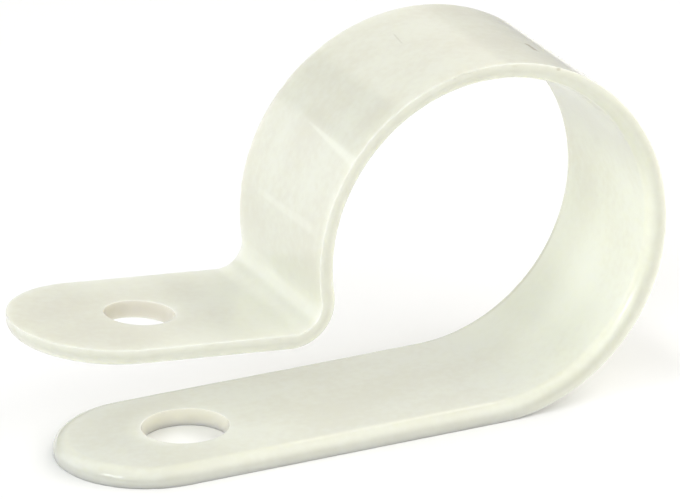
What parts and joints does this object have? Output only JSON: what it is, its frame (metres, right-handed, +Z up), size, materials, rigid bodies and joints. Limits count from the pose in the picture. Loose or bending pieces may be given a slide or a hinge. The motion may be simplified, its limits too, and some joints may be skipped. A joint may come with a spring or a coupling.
{
  "type": "cable clamp",
  "caption": "One-piece moulded nylon loop clamp: a thin strap wraps round a cable and ends in two round-ended tabs with screw holes.",
  "frame": {"origin": "axis of the lower tab's screw hole, on the flat face that lies on the mounting surface", "axes": "+X from the tabs to the loop, +Y along the cable, +Z up from the mounting surface; the middle of the strap's width is at y = 0"},
  "size_m": [0.0431, 0.0126, 0.0246],
  "materials": {
    "natural_nylon": "satin, milky and slightly translucent, natural colour"
  },
  "bodies": {
    "root": {"clamp_strap": "natural_nylon"}
  },
  "joints": []
}
